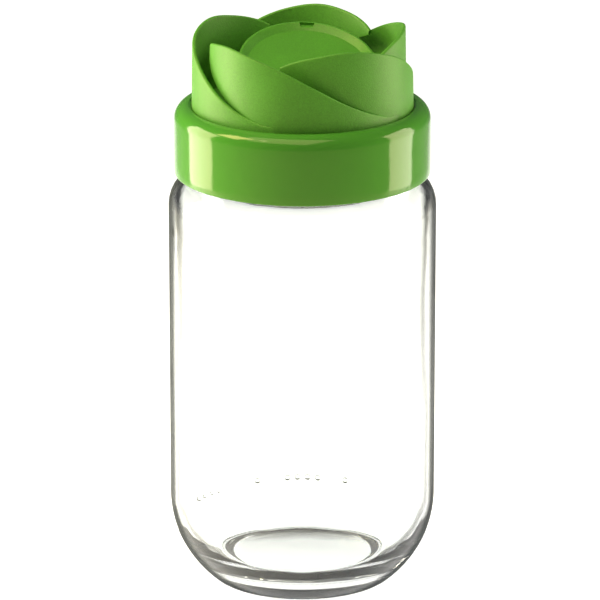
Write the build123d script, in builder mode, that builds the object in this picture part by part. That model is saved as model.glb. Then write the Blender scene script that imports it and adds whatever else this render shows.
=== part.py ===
"""One litre storage jar: a clear glass jar closed by a two-tone green screw lid.

The lid is built from shells that clip together: a glossy outer ring, a matt rose of five
overlapping petals, a slanted disc in the heart of the rose, and a threaded inner cap with
a foam seal. Millimetres, +Z up, origin in the middle of the jar's foot.
"""

from build123d import *
import os
from math import cos, radians, sin, sqrt

# ---------------------------------------------------------------- driving dimensions
# Glass body
JAR_D = 100.0              # outside diameter of the body
JAR_H = 177.0              # height of the glass
GLASS_WALL = 2.6           # body wall
SHOULDER_R = 12.0          # outside radius of the shoulder
HEEL_R = 41.0              # outside radius of the large rounded heel
FOOT_R = 32.5              # radius of the ring that the jar stands on
FOOT_FLAT = 1.2            # width of that ring's flat
FOOT_EDGE_R = 3.0          # rounding of that ring
FOOT_SLOPE = 1.2           # height of the short slope inside that ring
PUSH_UP = 5.0              # how far the middle of the base is raised
BASE_T = 4.5               # glass thickness in the middle of the base
FLOOR_R = 26.0             # radius of the nearly flat floor inside
FLOOR_Z = 6.5              # height of that floor's edge

# Glass neck and its four-start thread
NECK_D = 75.6              # neck between the threads
NECK_H = 19.5              # from the shoulder to the rim
NECK_WALL = 2.5            # glass round the mouth
RIM_ROUND = 0.7            # rounding of the rim's two edges
BEAD_RISE = 3.7            # middle of the bead above the shoulder
BEAD_H = 2.4               # height of the bead
BEAD_DEPTH = 1.2           # how far the bead stands out
THREAD_STARTS = 4
THREAD_LEAD = 16.0         # rise in one full turn
THREAD_SPAN = 78.0         # degrees that each glass thread covers
THREAD_DEPTH = 1.4         # how far a glass thread stands out
THREAD_W = 1.8             # width of a glass thread at its root
THREAD_DROP = 5.8          # middle of the threads below the rim
LUG_SPAN = 34.0            # degrees that each lug of the cap covers
LUG_DEPTH = 1.3            # how far a lug stands in
LUG_W = 1.5                # width of a lug at its root
TIP_SHARE = 0.55           # tip width of threads and lugs, as a share of the root
ROOT_SINK = 0.6            # how deep threads and lugs reach into their wall

# Outer ring of the lid
RING_SPACE = 4.65          # room between the inner cap's skirt and the ring's wall
RING_GAP = 0.5             # lower edge above the glass shoulder
RING_WALL = 2.0            # side wall
RING_TOP_T = 1.8           # top wall
RING_ROUND = 5.2           # rounding of the upper edge
RING_EDGE_ROUND = 0.6      # rounding of the lower edge
RING_STEP = 0.5            # depth of the shallow seat round the rose
RING_SEAT_W = 0.8          # width of that seat
RING_LEDGE_W = 0.3         # flat between that seat and the rounding
RIB_COUNT = 12             # ribs that stop the inner cap turning in the ring
RIB_W = 1.8
RIB_DEPTH = 2.0
RIB_RISE = 6.0             # lower end of the ribs above the ring's lower edge
CLIP_COUNT = 6             # clips that hold the inner cap up in the ring
CLIP_GRIP = 0.5            # how far each clip reaches under the cap's plate
CLIP_H = 1.0
CLIP_SPAN = 12.0           # degrees that each clip covers

# Rose
PETALS = 5
PETAL_T = 2.0              # petal wall
PETAL_H = 28.6             # highest point of a petal above the ring
FIRST_PETAL = -167.5       # direction where the first petal starts, from +X
PETAL_TIP = -10.0          # degrees from the start to the petal's tip
PETAL_TAIL = 130.0         # degrees from the start to the end of its tail
TUCK_IN = 7.3              # how far the part that curls inwards ends inside the rose's edge
TUCK_END = 75.0            # degrees from the start to the end of that part
ROSE_FLOOR_T = 1.8         # floor inside the rose
BAND_T = 1.6               # low band that joins the petals
BAND_INSET = 0.2           # band inside the petals' outer face
BAND_H = 2.2               # height of the band above the ring
FLANGE_T = 1.9             # flange held under the ring's top
FLANGE_W = 4.0
BUD_FLARE = 3.0            # how much wider the bud is where it leaves the floor
BUD_SHIFT = 2.2            # how far the bud stands to the right of the jar's axis
BUD_WALL = 1.8

# Rim of a petal and its free edge: degrees from the start, share of the petal's height
PETAL_RIM = [
    (-16, 0.68), (-10, 0.77), (0, 0.87), (14, 0.95), (32, 1.0), (50, 0.93),
    (66, 0.80), (84, 0.57), (102, 0.32), (118, 0.15), (136, 0.03),
]
PETAL_EDGE = [
    (-16, 0.80), (-10, 0.73), (0, 0.65), (12, 0.53), (24, 0.38), (36, 0.24),
    (48, 0.12), (66, -0.05),
]

# Slanted disc in the heart of the rose
DISC_GAP = 3.9             # room between the disc and the petals
DISC_FRONT = 3.7           # underside of its front edge above the ring
DISC_TILT = 22.0           # degrees that it leans to the front
DISC_TURN = 12.0           # degrees that the lean is turned to the right
DISC_EDGE_T = 2.4          # height of its edge
DISC_EDGE_ROUND = 0.5
DISC_CREST_W = 0.9         # flat crest of the rim
DISC_BAND_W = 2.6          # sloping band inside the crest
DISC_SINK = 1.8            # depth of the dished floor below the crest
DISC_FLOOR_T = 1.5
PLUG_DEPTH = 3.6           # how far the plug reaches into the bud
PLUG_WALL = 1.4
NOTCH_R = 2.8              # half-moon notch for lifting the disc out
NOTCH_DEPTH = 1.1
NOTCH_LIP = 0.7            # crest left outside the notch
NOTCH_TURN = -10.0         # degrees that the notch stands off the disc's highest point

# Inner cap and seal
CAP_WALL = 1.6             # threaded skirt
CAP_TOP_T = 1.8            # top plate
CAP_RELIEF = 0.8           # gap between the plate's edge and the ring's wall
CAP_LIFT = 2.5             # skirt's lower edge above the ring's
CAP_LEAD_IN = 0.6          # bevel inside the skirt's lower edge
WEB_W = 1.4                # webs that stiffen the plate outside the skirt
WEB_H = 8.5
WEB_LENGTH = 3.6
LINER_T = 1.5              # foam seal

# Clearances
THREAD_CLEAR = 0.35        # cap skirt to glass threads
FLANK_CLEAR = 0.15         # half the gap between a lug and the glass thread above it
SHELL_CLEAR = 0.1          # between the clipped shells of the lid
PLUG_CLEAR = 0.1           # disc plug in the bud
LINER_CLEAR = 0.3          # seal in the cap

# ---------------------------------------------------------------- derived sizes
JAR_R = JAR_D / 2
NECK_R = NECK_D / 2
MOUTH_R = NECK_R - NECK_WALL
THREAD_R = NECK_R + THREAD_DEPTH
SHOULDER_TOP_Z = JAR_H - NECK_H
SHOULDER_Z = SHOULDER_TOP_Z - SHOULDER_R
SHOULDER_CENTRE_R = JAR_R - SHOULDER_R
BEAD_Z = SHOULDER_TOP_Z + BEAD_RISE
THREAD_Z = JAR_H - THREAD_DROP

CAP_PLATE_Z = JAR_H + LINER_T
CAP_TOP_Z = CAP_PLATE_Z + CAP_TOP_T
FLANGE_TOP_Z = CAP_TOP_Z + FLANGE_T
RING_TOP_Z = FLANGE_TOP_Z + RING_TOP_T
RING_BOTTOM_Z = SHOULDER_TOP_Z + RING_GAP
SKIRT_IN_R = THREAD_R + THREAD_CLEAR
SKIRT_OUT_R = SKIRT_IN_R + CAP_WALL
RING_IN_R = SKIRT_OUT_R + RING_SPACE
RING_R = RING_IN_R + RING_WALL
RING_SEAT_Z = RING_TOP_Z - RING_STEP
RIB_IN_R = RING_IN_R - RIB_DEPTH

SKIRT_BOTTOM_Z = RING_BOTTOM_Z + CAP_LIFT
CAP_PLATE_R = RING_IN_R - CAP_RELIEF

ROSE_HOLE_R = RING_R - RING_ROUND - RING_LEDGE_W - RING_SEAT_W
ROSE_R = ROSE_HOLE_R - SHELL_CLEAR
TUCK_R = ROSE_R - TUCK_IN
BAND_R = ROSE_R - BAND_INSET
FLANGE_R = RING_R - RING_ROUND - SHELL_CLEAR

DISC_R = TUCK_R - PETAL_T - DISC_GAP - BUD_SHIFT
DISC_RISE = DISC_FRONT + DISC_R * sin(radians(DISC_TILT)) + DISC_EDGE_T * cos(radians(DISC_TILT))
BUD_BASE_R = DISC_R + BUD_FLARE
BUD_MOUTH_R = DISC_R - BUD_WALL
disc_normal = Vector(0, 0, 1).rotate(Axis.X, DISC_TILT).rotate(Axis.Z, DISC_TURN)
disc_across = Vector(1, 0, 0).rotate(Axis.Z, DISC_TURN)
disc_centre = (BUD_SHIFT, 0, RING_TOP_Z + DISC_RISE)
disc_plane = Plane(disc_centre, x_dir=disc_across, z_dir=disc_normal)
bud_mouth = disc_plane.offset(-DISC_EDGE_T)


# ---------------------------------------------------------------- shared helpers
def arc_height(centre_r, centre_z, radius, at_r):
    """Height of the upper arc of a circle in the section, at one radius of the body."""
    return centre_z + sqrt(radius**2 - (at_r - centre_r) ** 2)


def helical_bar(wall_r, depth, width, span, sink):
    """Trapezoid bar along the thread's helix, from angle 0; depth < 0 points inwards."""
    out = 1 if depth > 0 else -1
    root_r = wall_r - out * sink
    rise = THREAD_LEAD * span / 360
    tip = width * TIP_SHARE
    path = Helix(THREAD_LEAD, rise, wall_r, mode=Mode.PRIVATE)
    with BuildPart() as bar:
        with BuildSketch(Plane.XZ):
            with BuildLine():
                Polyline(
                    (root_r, -width / 2),
                    (wall_r, -width / 2),
                    (wall_r + depth, -tip / 2),
                    (wall_r + depth, tip / 2),
                    (wall_r, width / 2),
                    (root_r, width / 2),
                    close=True,
                )
            make_face()
        sweep(path=path, is_frenet=True)
    return bar.part


# ---------------------------------------------------------------- glass jar
heel_centre_r = JAR_R - HEEL_R
foot_in_r = FOOT_R - FOOT_FLAT / 2
foot_out_r = FOOT_R + FOOT_FLAT / 2
foot_reach = foot_out_r - heel_centre_r
heel_drop = sqrt((HEEL_R - FOOT_EDGE_R) ** 2 - foot_reach**2)
heel_centre_z = FOOT_EDGE_R + heel_drop
heel_share = HEEL_R / (HEEL_R - FOOT_EDGE_R)
heel_foot = (heel_centre_r + foot_reach * heel_share, heel_centre_z - heel_drop * heel_share)
foot_slant = FOOT_EDGE_R * sin(radians(45))
slope_foot = (foot_in_r - foot_slant, FOOT_EDGE_R - foot_slant)
slope_top = (slope_foot[0] - FOOT_SLOPE, slope_foot[1] + FOOT_SLOPE)

shoulder_in_r = max(SHOULDER_CENTRE_R, NECK_R)
shoulder_end_z = arc_height(SHOULDER_CENTRE_R, SHOULDER_Z, SHOULDER_R, shoulder_in_r)
inner_wall_r = JAR_R - GLASS_WALL
inner_shoulder_r = SHOULDER_R - GLASS_WALL
throat_r = max(SHOULDER_CENTRE_R, MOUTH_R)
throat_z = arc_height(SHOULDER_CENTRE_R, SHOULDER_Z, inner_shoulder_r, throat_r)


def arc_middle(centre_r, centre_z, radius, start, end):
    """Point of a circle half way round between two of its points."""
    middle_r = (start[0] + end[0]) / 2 - centre_r
    middle_z = (start[1] + end[1]) / 2 - centre_z
    share = radius / sqrt(middle_r**2 + middle_z**2)
    return (centre_r + middle_r * share, centre_z + middle_z * share)


def dome_arc(crown, edge):
    """Arc from the axis to an edge point, level on the axis, as a shallow dome has it."""
    sag = crown[1] - edge[1]
    radius = (edge[0] ** 2 + sag**2) / (2 * sag)
    half_r = edge[0] / 2
    return ThreePointArc(crown, (half_r, arc_height(0, crown[1] - radius, radius, half_r)), edge)


heel_top = (JAR_R, heel_centre_z)
heel_direction = (heel_centre_z - heel_foot[1], heel_foot[0] - heel_centre_r)
shoulder_start = (JAR_R, SHOULDER_Z)
shoulder_end = (shoulder_in_r, shoulder_end_z)
inner_start = (inner_wall_r, SHOULDER_Z)
inner_end = (throat_r, throat_z)
glass_thread = helical_bar(NECK_R, THREAD_DEPTH, THREAD_W, THREAD_SPAN, ROOT_SINK)
thread_start_z = THREAD_Z - THREAD_LEAD * THREAD_SPAN / 720

with BuildPart() as glass_jar:
    with BuildSketch(Plane.XZ):
        with BuildLine():
            dome_arc((0, PUSH_UP), slope_top)
            Line(slope_top, slope_foot)
            foot_mid = arc_middle(foot_in_r, FOOT_EDGE_R, FOOT_EDGE_R, slope_foot, (foot_in_r, 0))
            ThreePointArc(slope_foot, foot_mid, (foot_in_r, 0))
            Line((foot_in_r, 0), (foot_out_r, 0))
            foot_mid = arc_middle(foot_out_r, FOOT_EDGE_R, FOOT_EDGE_R, (foot_out_r, 0), heel_foot)
            ThreePointArc((foot_out_r, 0), foot_mid, heel_foot)
            heel_mid = arc_middle(heel_centre_r, heel_centre_z, HEEL_R, heel_foot, heel_top)
            Spline(heel_foot, heel_mid, heel_top, tangents=(heel_direction, (0, 1)))
            Line(heel_top, shoulder_start)
            shoulder_mid = arc_middle(
                SHOULDER_CENTRE_R, SHOULDER_Z, SHOULDER_R, shoulder_start, shoulder_end
            )
            ThreePointArc(shoulder_start, shoulder_mid, shoulder_end)
            if shoulder_in_r > NECK_R:
                Line(shoulder_end, (NECK_R, shoulder_end_z))
            Line((NECK_R, shoulder_end_z), (NECK_R, BEAD_Z - BEAD_H / 2))
            ThreePointArc(
                (NECK_R, BEAD_Z - BEAD_H / 2),
                (NECK_R + BEAD_DEPTH, BEAD_Z),
                (NECK_R, BEAD_Z + BEAD_H / 2),
            )
            Line((NECK_R, BEAD_Z + BEAD_H / 2), (NECK_R, JAR_H))
            Line((NECK_R, JAR_H), (MOUTH_R, JAR_H))
            Line((MOUTH_R, JAR_H), (MOUTH_R, throat_z))
            if throat_r > MOUTH_R:
                Line((MOUTH_R, throat_z), inner_end)
            inner_mid = arc_middle(
                SHOULDER_CENTRE_R, SHOULDER_Z, inner_shoulder_r, inner_end, inner_start
            )
            ThreePointArc(inner_end, inner_mid, inner_start)
            Line(inner_start, (inner_wall_r, heel_centre_z))
            EllipticalCenterArc(
                (FLOOR_R, heel_centre_z),
                x_radius=inner_wall_r - FLOOR_R,
                y_radius=heel_centre_z - FLOOR_Z,
                start_angle=-90,
                arc_size=90,
            )
            floor_top = PUSH_UP + BASE_T
            dome_arc((0, floor_top), (FLOOR_R, FLOOR_Z))
            Line((0, floor_top), (0, PUSH_UP))
        make_face()
    revolve(axis=Axis.Z)
    rim_edges = glass_jar.edges().filter_by(GeomType.CIRCLE).filter_by_position(
        Axis.Z, JAR_H - 0.01, JAR_H + 0.01
    )
    fillet(rim_edges, RIM_ROUND)
    with Locations((0, 0, thread_start_z)):
        with PolarLocations(0, THREAD_STARTS):
            add(glass_thread)
glass_jar.part.label = "glass_jar"

# ---------------------------------------------------------------- foam seal
with BuildPart() as seal_liner:
    with BuildSketch(Plane.XY.offset(JAR_H)):
        Circle(SKIRT_IN_R - LINER_CLEAR)
    extrude(amount=LINER_T)
seal_liner.part.label = "seal_liner"

# ---------------------------------------------------------------- threaded inner cap
cap_lug = helical_bar(SKIRT_IN_R, -LUG_DEPTH, LUG_W, LUG_SPAN, ROOT_SINK)
lug_drop = (THREAD_W + LUG_W) * (1 + TIP_SHARE) / 4 + 2 * FLANK_CLEAR
lug_turn = (THREAD_SPAN - LUG_SPAN) / 2
lug_start_z = thread_start_z + THREAD_LEAD * lug_turn / 360 - lug_drop

with BuildPart() as inner_screw_cap:
    with BuildSketch(Plane.XY.offset(CAP_PLATE_Z)):
        Circle(CAP_PLATE_R)
        with PolarLocations(CAP_PLATE_R, RIB_COUNT):
            Rectangle(
                2 * (CAP_PLATE_R - RIB_IN_R + SHELL_CLEAR),
                RIB_W + 2 * SHELL_CLEAR,
                mode=Mode.SUBTRACT,
            )
    extrude(amount=CAP_TOP_T)
    with BuildSketch(Plane.XY.offset(SKIRT_BOTTOM_Z)):
        Circle(SKIRT_OUT_R)
        Circle(SKIRT_IN_R, mode=Mode.SUBTRACT)
    extrude(amount=CAP_PLATE_Z - SKIRT_BOTTOM_Z)
    lower_edges = inner_screw_cap.edges().filter_by(GeomType.CIRCLE).group_by(Axis.Z)[0]
    chamfer(lower_edges.sort_by(SortBy.LENGTH)[0], CAP_LEAD_IN)
    with BuildSketch(Plane.XY.offset(CAP_PLATE_Z - WEB_H)):
        with PolarLocations(SKIRT_OUT_R + WEB_LENGTH / 2 - CAP_WALL / 2, RIB_COUNT, 180 / RIB_COUNT):
            Rectangle(WEB_LENGTH + CAP_WALL / 2, WEB_W)
    extrude(amount=WEB_H)
    with Locations(Location((0, 0, lug_start_z), (0, 0, lug_turn))):
        with PolarLocations(0, THREAD_STARTS):
            add(cap_lug)
inner_screw_cap.part.label = "inner_screw_cap"

# ---------------------------------------------------------------- glossy outer ring
round_centre_z = RING_TOP_Z - RING_ROUND
inner_round_r = RING_ROUND - RING_WALL
clip_in_r = CAP_PLATE_R - CLIP_GRIP

with BuildPart() as outer_ring:
    with BuildSketch(Plane.XZ):
        with BuildLine():
            Line((RING_IN_R, RING_BOTTOM_Z), (RING_R, RING_BOTTOM_Z))
            Line((RING_R, RING_BOTTOM_Z), (RING_R, round_centre_z))
            CenterArc((RING_R - RING_ROUND, round_centre_z), RING_ROUND, 0, 90)
            Polyline(
                (RING_R - RING_ROUND, RING_TOP_Z),
                (ROSE_HOLE_R + RING_SEAT_W, RING_TOP_Z),
                (ROSE_HOLE_R + RING_SEAT_W, RING_SEAT_Z),
                (ROSE_HOLE_R, RING_SEAT_Z),
                (ROSE_HOLE_R, FLANGE_TOP_Z),
                (RING_R - RING_ROUND, FLANGE_TOP_Z),
            )
            EllipticalCenterArc(
                (RING_R - RING_ROUND, round_centre_z),
                x_radius=inner_round_r,
                y_radius=FLANGE_TOP_Z - round_centre_z,
                start_angle=0,
                arc_size=90,
            )
            Line((RING_IN_R, round_centre_z), (RING_IN_R, RING_BOTTOM_Z))
        make_face()
    revolve(axis=Axis.Z)
    fillet(outer_ring.edges().filter_by(GeomType.CIRCLE).group_by(Axis.Z)[0], RING_EDGE_ROUND)
    with BuildSketch(Plane.XY.offset(RING_BOTTOM_Z + RIB_RISE)):
        with PolarLocations((RIB_IN_R + RING_IN_R + RING_WALL / 2) / 2, RIB_COUNT):
            Rectangle(RIB_DEPTH + RING_WALL / 2, RIB_W)
    extrude(amount=CAP_PLATE_Z + CAP_TOP_T / 2 - RING_BOTTOM_Z - RIB_RISE)
    with BuildSketch(Plane.XY.offset(CAP_PLATE_Z - CLIP_H)):
        with PolarLocations(0, CLIP_COUNT, 180 / RIB_COUNT - CLIP_SPAN / 2):
            with BuildLine():
                clip_out = CenterArc((0, 0), RING_IN_R + RING_WALL / 2, 0, CLIP_SPAN)
                clip_in = CenterArc((0, 0), clip_in_r, 0, CLIP_SPAN)
                Line(clip_out @ 0, clip_in @ 0)
                Line(clip_out @ 1, clip_in @ 1)
            make_face()
    extrude(amount=CLIP_H)
outer_ring.part.label = "outer_ring"


# ---------------------------------------------------------------- rose
def petal_point(angle, inset):
    """Plan point of a petal's wall, inset from its outer face, at degrees from its start."""
    shift = ROSE_R - TUCK_R
    turn = radians(angle - TUCK_END)
    if angle < TUCK_END:
        radius = shift * cos(turn) + sqrt((TUCK_R - inset) ** 2 - (shift * sin(turn)) ** 2)
    else:
        radius = ROSE_R - inset
    direction = radians(FIRST_PETAL + angle)
    return (radius * cos(direction), radius * sin(direction))


def petal_arcs(inset):
    """Tucked arc and tail arc of one face of a petal's wall."""
    tuck_middle = (PETAL_TIP + TUCK_END) / 2
    tail_middle = (TUCK_END + PETAL_TAIL) / 2
    ThreePointArc(*(petal_point(a, inset) for a in (PETAL_TIP, tuck_middle, TUCK_END)))
    ThreePointArc(*(petal_point(a, inset) for a in (TUCK_END, tail_middle, PETAL_TAIL)))


def rim_cutter(outline, travel):
    """Solid swept up or down from a surface whose height follows a petal's outline."""
    curves = []
    for reach in (ROSE_R / 2, ROSE_R + PETAL_H / 3):
        points = []
        for angle, share in outline:
            turn = radians(FIRST_PETAL + angle)
            height = RING_TOP_Z + share * PETAL_H
            points.append((reach * cos(turn), reach * sin(turn), height))
        curves.append(Edge.make_spline([Vector(*p) for p in points]))
    surface = Face.make_surface_from_curves(curves[0], curves[1])
    return Solid.extrude(surface, Vector(0, 0, travel))


with BuildPart() as petal:
    with BuildSketch(Plane.XY.offset(RING_SEAT_Z - ROSE_FLOOR_T / 2)):
        with BuildLine():
            petal_arcs(0)
            petal_arcs(PETAL_T)
            for end in (PETAL_TIP, PETAL_TAIL):
                Line(petal_point(end, 0), petal_point(end, PETAL_T))
        make_face()
    extrude(amount=PETAL_H + ROSE_FLOOR_T)
    add(rim_cutter(PETAL_RIM, PETAL_H), mode=Mode.SUBTRACT)
    add(rim_cutter(PETAL_EDGE, -2 * PETAL_H), mode=Mode.SUBTRACT)

floor_bottom_z = RING_TOP_Z - ROSE_FLOOR_T
bud_floor = Plane((BUD_SHIFT, 0, floor_bottom_z))
plug_seat = bud_mouth.offset(-PLUG_DEPTH - PLUG_CLEAR)

with BuildPart() as rose_top:
    with BuildSketch(Plane.XY.offset(floor_bottom_z)):
        Circle(BAND_R)
    extrude(amount=ROSE_FLOOR_T)
    with BuildSketch(Plane.XY.offset(RING_TOP_Z)):
        Circle(BAND_R)
        Circle(BAND_R - BAND_T, mode=Mode.SUBTRACT)
    extrude(amount=BAND_H)
    with BuildSketch(Plane.XY.offset(CAP_TOP_Z)):
        Circle(FLANGE_R)
        Circle(FLANGE_R - FLANGE_W, mode=Mode.SUBTRACT)
    extrude(amount=FLANGE_T)
    with PolarLocations(0, PETALS):
        add(petal.part)
    with BuildSketch(bud_floor):
        Circle(BUD_BASE_R)
    with BuildSketch(bud_mouth):
        Circle(DISC_R)
    loft()
    with BuildSketch(bud_floor):
        Circle(BUD_BASE_R - BUD_WALL)
    with BuildSketch(plug_seat):
        Circle(BUD_MOUTH_R)
    loft(mode=Mode.SUBTRACT)
    with BuildSketch(plug_seat):
        Circle(BUD_MOUTH_R)
    extrude(amount=PLUG_DEPTH + PLUG_CLEAR, mode=Mode.SUBTRACT)
rose_top.part.label = "rose_top"

# ---------------------------------------------------------------- slanted centre disc
crest_in_r = DISC_R - DISC_CREST_W
floor_r = crest_in_r - DISC_BAND_W
plug_r = BUD_MOUTH_R - PLUG_CLEAR
under_z = -DISC_SINK - DISC_FLOOR_T
disc_section = Plane(disc_centre, x_dir=disc_across, z_dir=disc_across.cross(disc_normal))
disc_axis = Axis(disc_centre, disc_normal)

with BuildPart() as centre_disc:
    with BuildSketch(disc_section):
        with BuildLine():
            Polyline(
                (0, under_z),
                (plug_r - PLUG_WALL, under_z),
                (plug_r - PLUG_WALL, -DISC_EDGE_T - PLUG_DEPTH),
                (plug_r, -DISC_EDGE_T - PLUG_DEPTH),
                (plug_r, -DISC_EDGE_T),
                (DISC_R, -DISC_EDGE_T),
                (DISC_R, 0),
                (crest_in_r, 0),
                (floor_r, -DISC_SINK),
                (0, -DISC_SINK),
                close=True,
            )
        make_face()
    revolve(axis=disc_axis)
    crest = centre_disc.edges().filter_by(GeomType.CIRCLE).group_by(disc_axis)[-1]
    fillet(crest.sort_by(SortBy.LENGTH)[-1], DISC_EDGE_ROUND)
    with BuildSketch(disc_plane.offset(-NOTCH_DEPTH)):
        with PolarLocations(DISC_R - NOTCH_LIP, 1, 90 + NOTCH_TURN):
            Circle(NOTCH_R)
        Circle(DISC_R - NOTCH_LIP, mode=Mode.INTERSECT)
    extrude(amount=NOTCH_DEPTH, mode=Mode.SUBTRACT)
centre_disc.part.label = "centre_disc"

# ---------------------------------------------------------------- written parts
os.makedirs("parts", exist_ok=True)
export_step(glass_jar.part, "parts/glass_jar.step")
export_step(seal_liner.part, "parts/seal_liner.step")
export_step(inner_screw_cap.part, "parts/inner_screw_cap.step")
export_step(outer_ring.part, "parts/outer_ring.step")
export_step(rose_top.part, "parts/rose_top.step")
export_step(centre_disc.part, "parts/centre_disc.step")
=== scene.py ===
"""Looks of a one-litre glass storage jar with a rose-shaped screw lid.

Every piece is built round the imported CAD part, in metres, +Z up, standing on z = 0.
"""

from math import atan2, cos, degrees, hypot, pi, radians, sin, sqrt, tau

import bmesh
import bpy
from bpy.props import (
    FloatProperty,
    FloatVectorProperty,
    IntProperty,
    PointerProperty,
)
from mathutils import Matrix, Vector


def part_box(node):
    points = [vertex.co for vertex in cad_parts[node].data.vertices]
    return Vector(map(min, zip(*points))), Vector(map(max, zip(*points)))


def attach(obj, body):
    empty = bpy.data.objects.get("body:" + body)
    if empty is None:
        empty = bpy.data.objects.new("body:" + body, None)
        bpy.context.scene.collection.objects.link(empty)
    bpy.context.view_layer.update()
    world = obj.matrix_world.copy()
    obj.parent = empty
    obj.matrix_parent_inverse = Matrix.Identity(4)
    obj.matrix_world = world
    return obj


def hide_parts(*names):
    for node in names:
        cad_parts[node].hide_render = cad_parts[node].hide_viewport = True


bl_info = {
    "name": "Rose-lid storage jar",
    "version": (1, 0, 0),
    "blender": (4, 5, 0),
    "location": "View3D > Sidebar > Jar",
    "description": "Builds the looks of a glass storage jar with a two-tone green rose lid",
    "category": "Add Mesh",
}

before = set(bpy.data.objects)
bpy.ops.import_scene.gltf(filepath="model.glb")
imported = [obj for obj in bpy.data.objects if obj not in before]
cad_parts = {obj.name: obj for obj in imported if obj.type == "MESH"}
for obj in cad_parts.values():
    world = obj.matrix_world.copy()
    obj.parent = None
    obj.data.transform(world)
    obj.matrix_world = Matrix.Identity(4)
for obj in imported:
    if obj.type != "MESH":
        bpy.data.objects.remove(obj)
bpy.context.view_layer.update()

MM = 0.001
JAR_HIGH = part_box("glass_jar")[1]
RING_LOW, RING_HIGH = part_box("outer_ring")
CAP_LOW, CAP_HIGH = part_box("inner_screw_cap")
LINER_LOW, LINER_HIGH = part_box("seal_liner")

LID_BODY = "lid"
JAR_BODY = "jar"
SEAL_BODY = "seal"

# Columns of faces round each turned piece
GLASS_COLUMNS = 540
RING_COLUMNS = 360
ROSE_COLUMNS = 256
CAP_COLUMNS = 192
LINER_COLUMNS = 128


# ---------------------------------------------------------------- colours
def linear(hex_colour):
    """sRGB hex such as "6DB52E" as the linear RGBA that a shader takes."""
    channels = []
    for start in (0, 2, 4):
        value = int(hex_colour[start:start + 2], 16) / 255
        channels.append(value / 12.92 if value <= 0.04045 else ((value + 0.055) / 1.055) ** 2.4)
    return (*channels, 1.0)


# ---------------------------------------------------------------- settings
def length(name, text, value, low=0.0):
    """A length in millimetres, kept in metres."""
    return FloatProperty(
        name=name, description=text, default=value * MM, min=low, unit="LENGTH", precision=4
    )


def angle(name, text, value):
    """An angle given in degrees, kept in radians."""
    return FloatProperty(name=name, description=text, default=radians(value), subtype="ANGLE")


def colour(name, text, hex_colour):
    """A linear colour picked as sRGB hex."""
    return FloatVectorProperty(
        name=name, description=text, default=linear(hex_colour), size=4, subtype="COLOR",
        min=0.0, max=1.0,
    )


class JAR_PG_glass(bpy.types.PropertyGroup):
    """Sizes of the glass."""

    wall: length("Wall", "Thickness of the body wall", 2.6)
    shoulder: length("Shoulder", "Outside radius of the shoulder", 12.0)
    heel: length("Heel", "Outside radius of the large rounded heel", 41.0)
    foot: length("Foot", "Radius of the ring that the jar stands on", 32.5)
    foot_flat: length("Foot flat", "Width of that ring's flat", 1.2)
    foot_round: length("Foot rounding", "Rounding of that ring", 3.0)
    foot_slope: length("Foot slope", "Height of the short slope inside that ring", 1.2)
    push_up: length("Push-up", "How far the middle of the base is raised", 5.0)
    base: length("Base", "Glass thickness in the middle of the base", 4.5)
    floor_radius: length("Floor radius", "Radius of the nearly flat floor inside", 26.0)
    floor_height: length("Floor height", "Height of that floor's edge", 6.5)
    neck: length("Neck radius", "Radius of the neck between the threads", 37.8)
    neck_height: length("Neck height", "From the shoulder to the rim", 19.5)
    mouth: length("Mouth radius", "Radius of the mouth", 35.3)
    rim_round: length("Rim rounding", "Rounding of the rim's edges", 0.7)
    thread_depth: length("Thread depth", "How far a glass thread stands out", 1.4)
    thread_width: length("Thread width", "Width of a glass thread at its root", 2.2)
    thread_drop: length("Thread drop", "Middle of the threads below the rim", 5.8)
    thread_lead: length("Thread lead", "Rise of a thread in one full turn", 16.0)
    thread_span: angle("Thread span", "Angle that each thread covers", 78.0)
    waviness: length("Waviness", "Unevenness of the blown inner wall", 0.30)
    knurls: IntProperty(name="Knurls", description="Bars of the stippled foot ring", default=90)


class JAR_PG_lid(bpy.types.PropertyGroup):
    """Sizes of the lid."""

    ring_wall: length("Ring wall", "Side wall of the outer ring", 2.0)
    ring_top: length("Ring top", "Top wall of the outer ring", 1.8)
    ring_round: length("Ring rounding", "Rounding of the ring's upper edge", 5.2)
    ring_edge: length("Ring edge", "Rounding of the ring's lower edge", 0.6)
    ring_seat: length("Seat depth", "Depth of the shallow seat round the rose", 0.5)
    ring_seat_width: length("Seat width", "Width of that seat", 0.8)
    rose: length("Rose radius", "Outside radius of the petals", 41.4)
    petals: IntProperty(name="Petals", description="Number of petals", default=5, min=3)
    petal_wall: length("Petal wall", "Thickness of a petal", 2.0)
    petal_height: length("Petal height", "Highest point of a petal above the ring", 28.6)
    petal_round: length("Petal rounding", "Rounding of a petal's rim", 0.75)
    tuck: length("Tuck radius", "Plan radius of the part that curls inwards", 34.1)
    tuck_end: angle("Tuck end", "Where that part ends, from the petal's start", 75.0)
    first_petal: angle("First petal", "Direction where the first petal starts", -167.5)
    band: length("Band", "Height of the low band that joins the petals", 2.2)
    band_wall: length("Band wall", "Thickness of that band", 1.6)
    bud_shift: length("Bud shift", "How far the bud stands to the right of the axis", 2.2)
    bud_flare: length("Bud flare", "How much wider the bud is at its foot", 3.0)
    bud_wall: length("Bud wall", "Thickness of the bud", 1.8)
    disc: length("Disc radius", "Radius of the slanted disc", 26.0)
    disc_rise: length("Disc rise", "Middle of the disc's rim above the ring", 15.665)
    disc_tilt: angle("Disc tilt", "Lean of the disc to the front", 22.0)
    disc_turn: angle("Disc turn", "Turn of that lean to the right", 12.0)
    disc_edge: length("Disc edge", "Height of the disc's edge", 2.4)
    disc_band: length("Disc band", "Width of the sloping band inside the crest", 2.6)
    disc_sink: length("Disc sink", "Depth of the dished floor", 1.8)
    notch: length("Notch radius", "Radius of the half-moon notch", 2.8)
    notch_turn: angle("Notch turn", "Turn of the notch off the disc's highest point", -10.0)


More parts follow.
